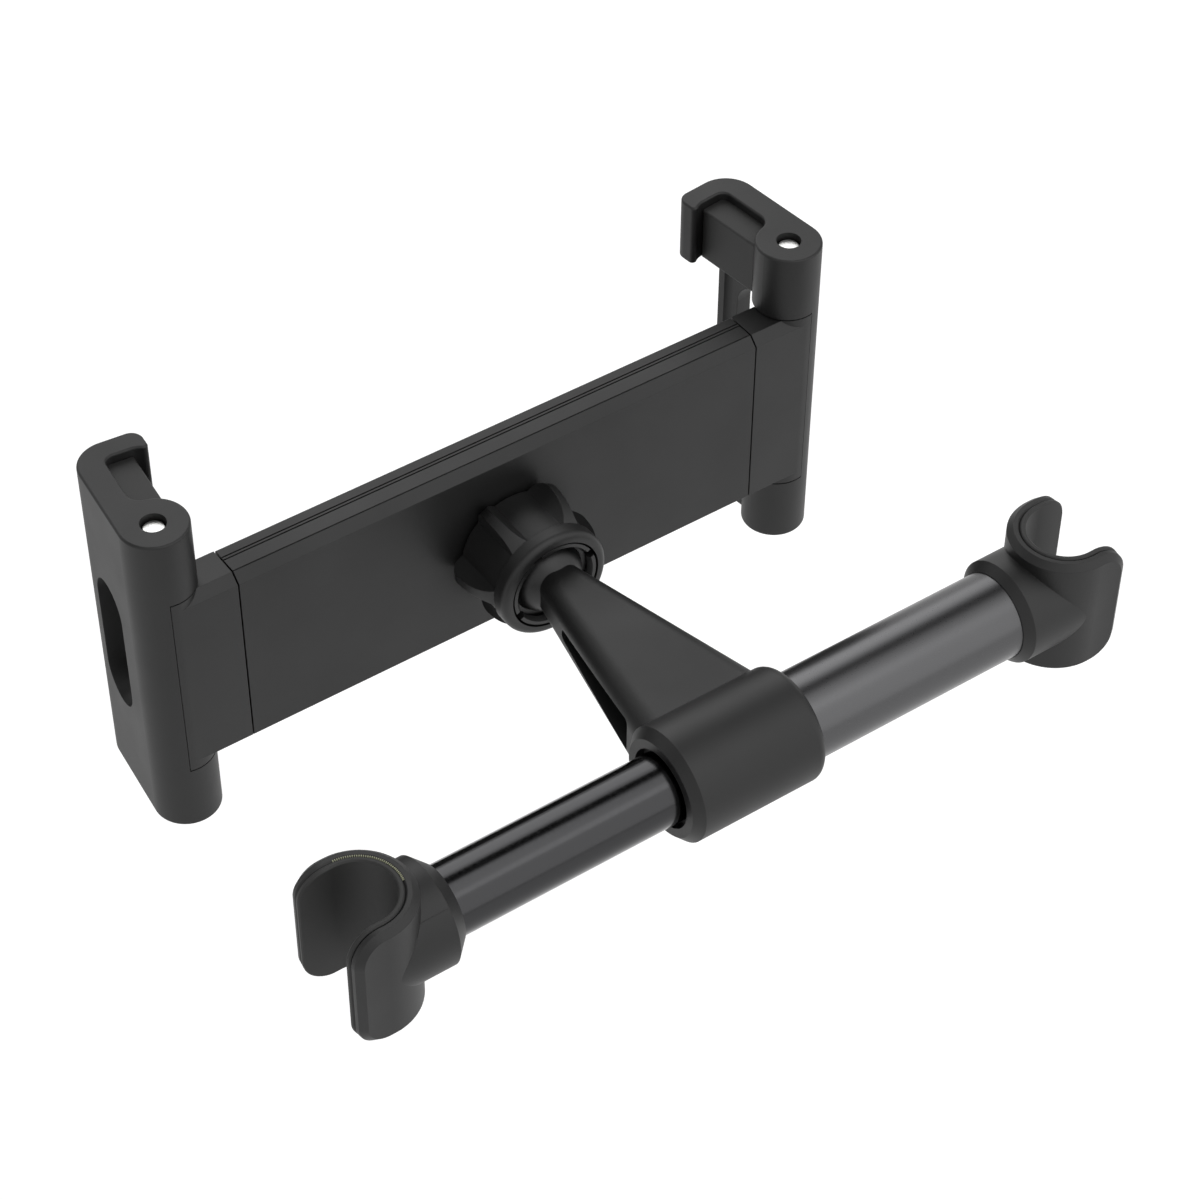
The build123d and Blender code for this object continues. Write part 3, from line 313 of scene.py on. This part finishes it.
for finish, names in FINISHES.items():
    for name in names:
        dress(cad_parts[name], finish)
print("dressed", sum(len(names) for names in FINISHES.values()), "of", len(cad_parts), "pieces")

# %% [markdown]
# ## Beads in the left hook's groove
# Between the liner and the shell of the left hook runs a narrow groove, and on its inner arc a row of tiny
# beads stands; their pale straw colour is a painted highlight for the glints along the groove. One bead is
# modelled as a small block with rounded edges; then it is copied round the post's axis, under three degrees at
# a time.

# %% Model one bead and repeat it round the post
LEFT_POST = Vector((-84.0, 0.0, 0.0)) * MM
BEAD_RING_R = 9.12
BEAD_HEIGHT = 14.72
BEAD_PLACE = Vector((BEAD_RING_R, 0.0, BEAD_HEIGHT)) * MM
BEAD_SIZE = Vector((0.42, 0.20, 0.44)) * MM
BEAD_EDGE = 0.05
BEAD_START = math.radians(86.0)
BEAD_PITCH = math.radians(2.6)
BEADS = 39


def start_block(name, place, size):
    """A block of this size at this place, opened for editing with all of it selected."""
    bpy.ops.object.select_all(action="DESELECT")
    bpy.ops.mesh.primitive_cube_add(size=1, location=place, scale=size)
    block = bpy.context.object
    block.name = name
    bpy.ops.object.transform_apply(location=True, rotation=True, scale=True)
    bpy.ops.object.mode_set(mode="EDIT")
    bpy.ops.mesh.select_all(action="SELECT")
    return block


def round_edges(edge):
    """Rounds every edge of the selected block."""
    bpy.ops.mesh.bevel(offset=edge * MM, segments=2, affect="EDGES")
    bpy.ops.mesh.select_all(action="SELECT")


def corners_mm(piece):
    """Two opposite corners of a piece's box, in millimetres, to print."""
    return [tuple(round(v / MM, 1) for v in piece.bound_box[corner]) for corner in (0, 6)]


def finish_piece(piece, material, body):
    """Closes the editing, and hands the piece its finish and the body that it rides on."""
    bpy.ops.mesh.normals_make_consistent(inside=False)
    bpy.ops.object.mode_set(mode="OBJECT")
    bpy.ops.object.shade_smooth_by_angle(angle=math.radians(35))
    piece.data.materials.append(material)
    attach(piece, body)


def groove_beads():
    """The row of beads; the rotate operator turns clockwise for a positive angle, seen from above."""
    beads = start_block("left_groove_beads", LEFT_POST + BEAD_PLACE, BEAD_SIZE)
    round_edges(BEAD_EDGE)
    bpy.ops.transform.rotate(value=-BEAD_START, orient_axis="Z", center_override=LEFT_POST)
    for _ in range(BEADS - 1):
        bpy.ops.mesh.duplicate()
        bpy.ops.transform.rotate(value=BEAD_PITCH, orient_axis="Z", center_override=LEFT_POST)
    bpy.ops.mesh.select_all(action="SELECT")
    # The pale colour given to the beads here is a painted highlight.
    finish_piece(beads, GROOVE_HIGHLIGHT_RUBBER, "sliding_rod")
    return beads


print("beads", BEADS, corners_mm(groove_beads()))

# %% [markdown]
# ## A parting line on the left collar
# Where the two halves of the mould met, a hair-thin raised line is left along the collar of the left hook.
# It is a flat strip laid along the rod on top of the collar, rounded, and then turned round the rod to its
# place.

# %% Lay the parting line
COLLAR_R = 11.45
LINE_FROM = -76.6
LINE_TO = -69.3
LINE_WIDTH = 0.16
LINE_PROUD = 0.05
LINE_TURN = math.radians(43.3)


def parting_line():
    """The strip along the left collar, half sunk in its surface."""
    place = Vector(((LINE_FROM + LINE_TO) / 2, 0.0, COLLAR_R)) * MM
    size = Vector((LINE_TO - LINE_FROM, LINE_WIDTH, 2 * LINE_PROUD)) * MM
    line = start_block("left_collar_parting_line", place, size)
    round_edges(0.4 * LINE_PROUD)
    bpy.ops.transform.rotate(value=-LINE_TURN, orient_axis="X", center_override=(0.0, 0.0, 0.0))
    finish_piece(line, NYLON, "sliding_rod")
    return line


print("line", corners_mm(parting_line()))

# %% [markdown]
# ## The studio
# The photograph shows the mount on pure white with soft, even light. The walls and the ceiling of the studio
# are white, with one dark gap high up behind the mount, and the tubes show that gap as a dark band. A wide
# soft box stands in front on the right and two weaker ones hang at the back and overhead. The floor is far
# below, so its shadow is faint.

# %% Floor, world and lamps
FLOOR_HEIGHT = -0.30
GAP_SLANT = 0.36
GAP_EDGE = (0.2, 0.42)
GAP_LIGHT = 0.05
WALL_FILL = 0.45
FLOOR_GLOW = 0.37
CENTRE = (cad_box[0] + cad_box[1]) / 2


def seen_directly(tree):
    """1 for rays from the camera and for those that mirror or pass through a surface, else 0."""
    path = add_node(tree, "ShaderNodeLightPath")
    total = add_node(
        tree, "ShaderNodeMath",
        {0: path.outputs["Is Camera Ray"], 1: path.outputs["Is Glossy Ray"]}, operation="ADD",
    )
    return add_node(
        tree, "ShaderNodeMath",
        {0: total.outputs[0], 1: path.outputs["Is Transmission Ray"]}, operation="ADD", use_clamp=True,
    ).outputs[0]


def studio_world(fill):
    """White walls and a white ceiling with one dark gap; they fill the shadows with a weaker light."""
    world = bpy.data.worlds.new("studio")
    world.use_nodes = True
    tree = world.node_tree
    tree.nodes.clear()
    direction = add_node(tree, "ShaderNodeTexCoord").outputs["Generated"]
    place = add_node(tree, "ShaderNodeSeparateXYZ", {"Vector": direction})
    height = add_node(tree, "ShaderNodeMath", {0: place.outputs["Z"], 1: 0.01}, operation="MAXIMUM")
    slant = add_node(
        tree, "ShaderNodeMath", {0: place.outputs["Y"], 1: height.outputs[0]}, operation="DIVIDE"
    )
    off_gap = add_node(tree, "ShaderNodeMath", {0: slant.outputs[0], 1: GAP_SLANT}, operation="SUBTRACT")
    distance = add_node(tree, "ShaderNodeMath", {0: off_gap.outputs[0]}, operation="ABSOLUTE")
    white = add_node(
        tree, "ShaderNodeMapRange",
        {"Value": distance.outputs[0], "From Min": GAP_EDGE[0], "From Max": GAP_EDGE[1],
         "To Min": GAP_LIGHT, "To Max": 1.0},
    )
    strength = add_node(
        tree, "ShaderNodeMapRange",
        {"Value": seen_directly(tree), "To Min": fill, "To Max": white.outputs["Result"]},
    )
    background = add_node(
        tree, "ShaderNodeBackground", {"Color": (1, 1, 1, 1), "Strength": strength.outputs["Result"]}
    )
    add_node(tree, "ShaderNodeOutputWorld", {"Surface": background.outputs["Background"]})
    return world


def studio_floor():
    """A wide white paper floor whose own glow lifts it to white, while it still takes the shadow."""
    bpy.ops.object.select_all(action="DESELECT")
    bpy.ops.mesh.primitive_plane_add(size=8, location=(CENTRE.x, CENTRE.y, FLOOR_HEIGHT))
    floor = bpy.context.object
    floor.name = "floor"
    material, tree, shader, place = start_material("matt_white_paper", Roughness=0.9)
    fibres = add_node(tree, "ShaderNodeTexNoise", {"Vector": place, "Scale": per_metre(3.0)})
    glow = add_node(
        tree, "ShaderNodeMapRange", {"Value": seen_directly(tree), "To Min": 0.0, "To Max": FLOOR_GLOW}
    )
    shader.inputs["Emission Color"].default_value = (1, 1, 1, 1)
    finish_shader(
        tree, shader, Base_Color=mottle(tree, fibres, "#f2f2f2", "#f6f6f6"),
        Emission_Strength=glow.outputs["Result"],
    )
    floor.data.materials.append(material)
    return floor


def soft_box(name, place, width, power):
    """A square lamp that looks at the object's middle."""
    lamp = bpy.data.objects.new(name, bpy.data.lights.new(name, "AREA"))
    bpy.context.scene.collection.objects.link(lamp)
    lamp.data.size = width
    lamp.data.energy = power
    lamp.location = CENTRE + Vector(place)
    lamp.rotation_euler = (-Vector(place)).to_track_quat("-Z", "Y").to_euler()
    return lamp


bpy.context.scene.world = studio_world(WALL_FILL)
studio_floor()
soft_box("front_box", (0.7, -0.9, 0.5), 1.5, 4.5)
soft_box("back_box", (0.35, 0.85, 0.8), 0.9, 4)
soft_box("top_box", (0.1, -0.5, 1.1), 1.0, 3)
print("studio ready")
